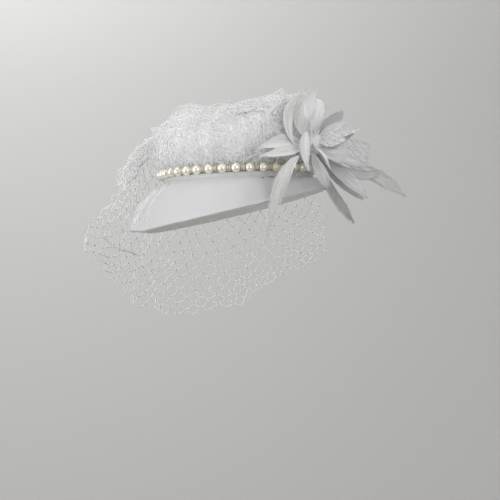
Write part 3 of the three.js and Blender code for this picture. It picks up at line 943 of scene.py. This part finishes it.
def leaf(shape, blade, seed, columns=15, pleats=3.5, depth=0.16, ragged=0.05, end=1.0):
    """A thin closed blade, creased along its middle, with soft pleats and a slightly ragged edge."""
    rng, rows, thick = dice(seed), 44, 0.3
    t = np.linspace(0, end, rows)[:, None]
    across = np.linspace(-1, 1, columns)[None]
    wander = np.cumsum(rng.normal(size=(rows, 2)), axis=0)
    wander = (wander - np.linspace(0, 1, rows)[:, None] * wander[-1]) * ragged * 0.35
    jag = rng.normal(size=(rows, 2)) * ragged * smoothstep(t, 0.35, 1.0)
    edge = np.where(across < 0, (wander + jag)[:, :1], (wander + jag)[:, 1:])
    place = across * (1 + edge * across**2)
    phase, bend, crease = rng.uniform(0, 6.3), rng.normal(size=3), rng.uniform(0.1, 0.24)

    def surface(tt, aa, rise=0.0):
        open_up = np.sin(pi * np.clip(tt, 0.04, 0.96))
        fold = depth * np.sin(aa * pi * pleats + phase + 1.6 * tt * bend[0]) * open_up
        curl = 0.5 * bend[1] * np.sin(pi * tt) + 0.35 * bend[2] * np.sin(2 * pi * tt)
        twist = 0.3 * bend[0] * aa * blade.half(tt) * tt
        return blade.at_point(tt, aa, fold + curl + twist + crease * np.abs(aa) * blade.half(tt) + rise)

    over, under = surface(t, place, thick / 2), surface(t, place, -thick / 2)
    loop = np.concatenate([over, under[:, ::-1]], 1)
    n = loop.shape[1]
    faces = tube_faces(rows, n, ends=False)
    first = [(j, j + 1, n - 2 - j, n - 1 - j) for j in range(columns - 1)]
    last = [tuple(v + (rows - 1) * n for v in f[::-1]) for f in first]
    uv_across = np.concatenate([across, across[:, ::-1]], 1)
    uvs = array(uv_across * blade.wide / 40 + seed * 0.37, t * blade.long() / 40)
    shape.add(loop, faces + first + last, uvs)
    return surface


def quill(shape, blade, radius):
    t = np.linspace(0, 0.97, 26)
    rope(shape, blade.at_point(t, 0, 0.25), lerp(radius, radius * 0.25, t))


def strip(shape, line, up, width, shift):
    """A thin tapered closed strip along a run of points."""
    n = len(line)
    wideways = unit(np.cross(up, unit(np.gradient(line, axis=0))))
    half = wideways * width[:, None] / 2
    ring = np.stack([line + half, line + up * 0.07, line - half, line - up * 0.07], 1)
    shape.add(ring, tube_faces(n, 4), array(np.arange(4)[None] * 0.02 + shift, np.linspace(0, 1, n)[:, None]))


def barbs(shape, blade, seed, count, slant, wide, start=0.1, ragged=0.1, inside=0.0):
    """Barbs on both sides of a blade, each a strip swept from near its midline out to its edge."""
    rng = dice(seed)
    steps = np.linspace(0, 1, 5)
    for sign in (-1, 1):
        for t0 in np.linspace(start, 0.985, count):
            t0 = t0 + rng.normal() * 0.004
            reach = slant * rng.uniform(0.85, 1.15)
            t = np.clip(t0 + reach * steps**1.25, 0, 1.0 + 0.25 * reach)
            grow = 1 + rng.normal() * ragged
            base = blade.half(np.clip(t0 + reach * 0.7, 0, 1))
            middle, along, side, up = blade.frame(np.clip(t, 0, 1))
            extra = np.clip(t - 1, 0, None)[:, None] * blade.long() * along
            across = sign * (inside + (1 - inside) * steps**0.85) * base * grow
            rise = 0.12 * base * steps**2 + rng.normal() * 0.18 * steps + inside * 0.2 * base
            line = middle + extra + side * across[:, None] + up * rise[:, None]
            strip(shape, line, up, wide * (1 - 0.75 * steps) * rng.uniform(0.8, 1.2), t0 * 3)


def heart(seed):
    """The tuft at the middle of the flower."""
    rng = dice(seed)
    shape, t = Shape(), np.linspace(0, 1, 6)[:, None]
    for _ in range(90):
        away = rng.normal(size=3)
        away = unit(away - OUTWARD * np.dot(away, OUTWARD))
        long = rng.uniform(5, 11)
        start = FLOWER + OUTWARD * 3.0
        line = start + (OUTWARD * (2 * t - 1.5 * t**2) * 0.75 + away * t) * long
        strip(shape, line, np.broadcast_to(OUTWARD, line.shape), rng.uniform(0.5, 1.3) * (1.1 - t[:, 0]), 0.1)
    return shape


def flecks(shape, points, sizes, seed):
    """Small flat six-sided spangles, each turned its own way."""
    rng = dice(seed)
    for p, size in zip(points, sizes):
        a = unit(rng.normal(size=3))
        b = unit(np.cross(a, rng.normal(size=3)))
        n = np.cross(a, b) * 0.06
        ring = p + size * ring_of(a, b, 6)
        body = np.concatenate([ring + n, ring - n])
        faces = [(0, 1, 2, 3, 4, 5), (11, 10, 9, 8, 7, 6)]
        faces += [(k, k + 6, (k + 1) % 6 + 6, (k + 1) % 6) for k in range(6)]
        shape.add(body, faces)


def lace_threads(shape, blade, seed, start, end):
    """An open lace ground of fine threads, with a thicker outline."""
    rng = dice(seed)
    rows, columns = 9, 7
    t = np.linspace(start, end, rows)[:, None] + np.zeros((1, columns))
    across = np.linspace(-1, 1, columns)[None] + 0 * t
    inner = (slice(1, -1), slice(1, -1))
    t[inner] += rng.normal(size=t[inner].shape) * 0.012
    across[inner] += rng.normal(size=t[inner].shape) * 0.075
    points = blade.at_point(t, across, 0.4 * rng.normal(size=t.shape))
    pairs = []
    for i in range(rows - 1):
        for j in range(columns - 1):
            pairs.append(((i, j), (i + 1, j + 1)) if (i + j) % 2 else ((i + 1, j), (i, j + 1)))
            if rng.random() < 0.35:
                pairs.append(((i, j), (i + 1, j)))
    a = np.array([points[p] for p, _ in pairs])
    b = np.array([points[q] for _, q in pairs])
    tubes(shape, a, b, rng.uniform(0.2, 0.34, len(a)), sides=4)
    for across_edge in (-1.0, 1.0):
        line = np.linspace(start, end, 30)
        rope(shape, blade.at_point(line, across_edge), 0.34)
    line = np.linspace(-1, 1, 20)
    rope(shape, blade.at_point(end, line), 0.4)


def in_row_frame(shape):
    shape.points = [from_turned(p) for p in shape.points]
    return shape


# A petal is cut this much wider and longer than its blade, for its cup and its seam. The lace petal's
# cloth ends halfway along, where its open lace begins.
CUP, SEAM, LEAST_WIDE = 1.12, 1.02, 0.010
LACE_CUP, LACE_SHARE = 1.1, 0.55


# How each kind of feather is built: its solid vane, if any, its quill's radius and its barbs.
FEATHERS = dict(
    plume=dict(quill=0.42, barbs=dict(count=190, slant=0.34, wide=0.5)),
    wisp=dict(
        vane=dict(columns=9, depth=0.2, ragged=0.1, end=0.7), quill=0.42,
        barbs=dict(count=130, slant=0.26, wide=0.5, ragged=0.22),
    ),
    vane=dict(
        vane=dict(columns=11, pleats=1.5, depth=0.2, ragged=0.06, end=0.96), quill=0.4,
        barbs=dict(count=55, slant=0.16, wide=0.45, start=0.2, ragged=0.08),
    ),
)
SPANGLES = 220


def flower():
    # all cloths here but feather and pale are darker copies of white cloths, painted shade for blades that
    # lie in shade
    cloths = dict(feather=FEATHER, soft=FEATHER_PAINTED_SHADE, pale=PETAL, grey=PETAL_PAINTED_SHADE, dull=PETAL_PAINTED_DEEP_SHADE, sheer=SHEER_PAINTED_SHADE)
    for seed, row in enumerate(LEAVES, 200):
        name, node, *numbers, kind, cloth = row.split()
        blade, shape = Blade(name, *map(float, numbers)), Shape()

        def put(name, shape, finish, smooth=True):
            return piece(name, in_row_frame(shape), finish, [node], smooth)

        if kind in FEATHERS:
            build = FEATHERS[kind]
            if "vane" in build:
                leaf(shape, blade, seed, **build["vane"])
            quill(shape, blade, build["quill"])
            barbs(shape, blade, seed, **build["barbs"])
            if name == "tall_outer":
                edge = np.linspace(0.1, 0.98, 30)
                rope(shape, blade.at_point(edge, -0.98, 0.3), 0.42, 5)
            put(f"feather_{name}", shape, cloths[cloth])
        elif kind == "lace":
            leaf(shape, blade, seed, end=0.5)
            obj = put(f"leaf_{name}", shape, cloths[cloth])
            ground = Shape()
            lace_threads(ground, blade, seed, 0.46, 1.0)
            lace = put("leaf_lace_ground", ground, LACE_PAINTED_SHADE)
            size = (blade.wide * LACE_CUP * MM, blade.long() * LACE_SHARE * MM)
        else:
            place = leaf(shape, blade, seed, ragged=0.09 if kind == "sheer" else 0.06)
            obj = put(f"leaf_{name}", shape, cloths[cloth])
            frayed = Shape()
            barbs(frayed, blade, seed, 12, 0.1, 0.4, start=0.8, ragged=0.2)
            barbs(frayed, blade, seed + 50, 30, 0.07, 0.2, start=0.2, ragged=0.07, inside=0.75)
            extra = [put(f"leaf_{name}_fringe", frayed, cloths[cloth])]
            if kind == "glitter":
                rng = dice(seed)
                spangles = Shape()
                t, across = rng.uniform(0.02, 0.9, SPANGLES), rng.uniform(-1, 1, SPANGLES)
                flecks(spangles, place(t, across, 0.7), rng.uniform(0.3, 0.7, SPANGLES), seed)
                extra.append(put(f"{name}_spangles", spangles, GLITTER, False))
            if kind == "sheer":
                line = np.linspace(0.4, 0.98, 24)
                cord = Shape()
                rope(cord, blade.at_point(line, 0.75, 0.3), 0.35)
                extra.append(put("leaf_sheer_rib", cord, PETAL))
            size = (max(LEAST_WIDE, blade.wide * CUP * MM), blade.long() * SEAM * MM)
    piece("flower_heart", in_row_frame(heart(290)), FEATHER, ["flower_calyx"])


def calyx():
    """The bound foot of the flower, wrapped in tape."""
    rows, columns = 40, 48
    long = np.linalg.norm(FLOWER - CALYX_FOOT)
    axis = unit(FLOWER - CALYX_FOOT)
    profile = np.array([
        (4.5, 0), (4.0, 0.45 * long), (7.5, 0.85 * long),
        (6.75, long + 1), (3.75, long + 3.4), (0.6, long + 4.4),
    ])
    steps = np.linspace(0, len(profile) - 1, rows)
    radius, height = (np.interp(steps, np.arange(len(profile)), profile[:, k]) for k in range(2))
    side = unit(np.cross(axis, [0, 0, 1.0]))
    turn = circle(columns)[None]
    wrap = 0.18 * np.sin(steps[:, None] * 5 + turn)
    ring = ring_of(side, np.cross(side, axis), columns)
    points = CALYX_FOOT + height[:, None, None] * axis + (radius[:, None] + wrap)[..., None] * ring[None]
    shape = Shape()
    shape.add(points, tube_faces(rows, columns, flip=False), array(turn / 6, height[:, None] / 20))
    piece("flower_calyx_wrap", in_row_frame(shape), PETAL, ["flower_calyx"])


side_band()
crown_tip()
band_marks()
comb()
pearl_strings()
pouf()
calyx()
flower()
veil_drape()


# ---- stage, light and camera ----
def stage():
    """A plain floor that curves up into a round wall."""
    floor_z, flat_to, wall, curve_high, wall_top = -620.0, 800.0, 1600.0, 900.0, 900.0
    steps, columns = 16, 96
    profile = [(flat_to * 0.5, floor_z), (flat_to, floor_z)]
    for k in range(1, steps + 1):
        turn = k / steps * pi / 2
        out, up = (wall - flat_to) * math.sin(turn), curve_high * (1 - math.cos(turn))
        profile.append((flat_to + out, floor_z + up))
    profile.append((wall, wall_top))
    angle = circle(columns)
    rows = np.array(profile)
    points = array(rows[:, :1] * np.cos(angle), rows[:, :1] * np.sin(angle), rows[:, 1:])
    shape = Shape()
    shape.add(points, grid_faces(len(rows), columns, wrap_columns=True) + [tuple(range(columns))[::-1]])
    mesh = shape.mesh("stage")
    mesh.polygons.foreach_set("use_smooth", [True] * len(mesh.polygons))
    mat, _ = material("stage", (0.37, 0.368, 0.362), 0.95)
    mesh.materials.append(mat)
    add_object("stage", mesh)


def aim(obj, spot, target):
    obj.location = Vector(spot)
    obj.rotation_euler = (Vector(target) - Vector(spot)).to_track_quat("-Z", "Y").to_euler()


def area_light(name, spot, target, size, watts):
    data = bpy.data.lights.new(name, "AREA")
    data.shape, data.size, data.energy = "DISK", size, watts
    aim(add_object(name, data), *(from_turned(np.array(p, float)) for p in (spot, target)))


# Each light's place and target, in metres in the turned axes, its size and its power in watts.
LIGHTS = dict(
    window=((0.36, -0.74, 0), (0, 0, 0), 0.8, 3.6),
    ceiling=((0.45, -0.45, 1.35), (0, 0, 0), 1.4, 5.0),
    fill=((0.85, 0.42, 0.12), (0, 0, 0), 0.9, 2.6),
    backdrop=((-0.8, -0.42, 0.76), (-1.6, -0.17, 0.42), 0.6, 13.4),
    front_wall=((0.9, 0, 0.7), (1.6, 0, 0.2), 0.55, 5.5),
    left_wall=((0, -0.9, 0.7), (0, -1.6, 0.2), 0.55, 5.5),
    right_wall=((0, 0.9, 0.7), (0, 1.6, 0.2), 0.55, 5.5),
    back=((-0.7, 0.6, 0.9), (0, 0, 0), 1.0, 2.0),
)
WORLD_STRENGTH = 0.55


def lights():
    world = bpy.data.worlds.new("studio")
    world.use_nodes = True
    background = world.node_tree.nodes["Background"]
    background.inputs["Color"].default_value = (1, 1, 1, 1)
    background.inputs["Strength"].default_value = WORLD_STRENGTH
    bpy.context.scene.world = world
    for name, numbers in LIGHTS.items():
        area_light(name, *numbers)


def camera():
    """A level view along the photo's line of sight, from a metre away."""
    target, to_camera = Vector((-0.0126, 0.0073, -0.0267)), Vector((0.5, 0.866, 0))
    data = bpy.data.cameras.new("camera")
    data.lens, data.sensor_width = 103.7, 36.0
    obj = add_object("camera", data)
    aim(obj, target + to_camera, target)
    bpy.context.scene.camera = obj


stage()
lights()
camera()
bpy.context.scene.view_settings.view_transform = "Standard"
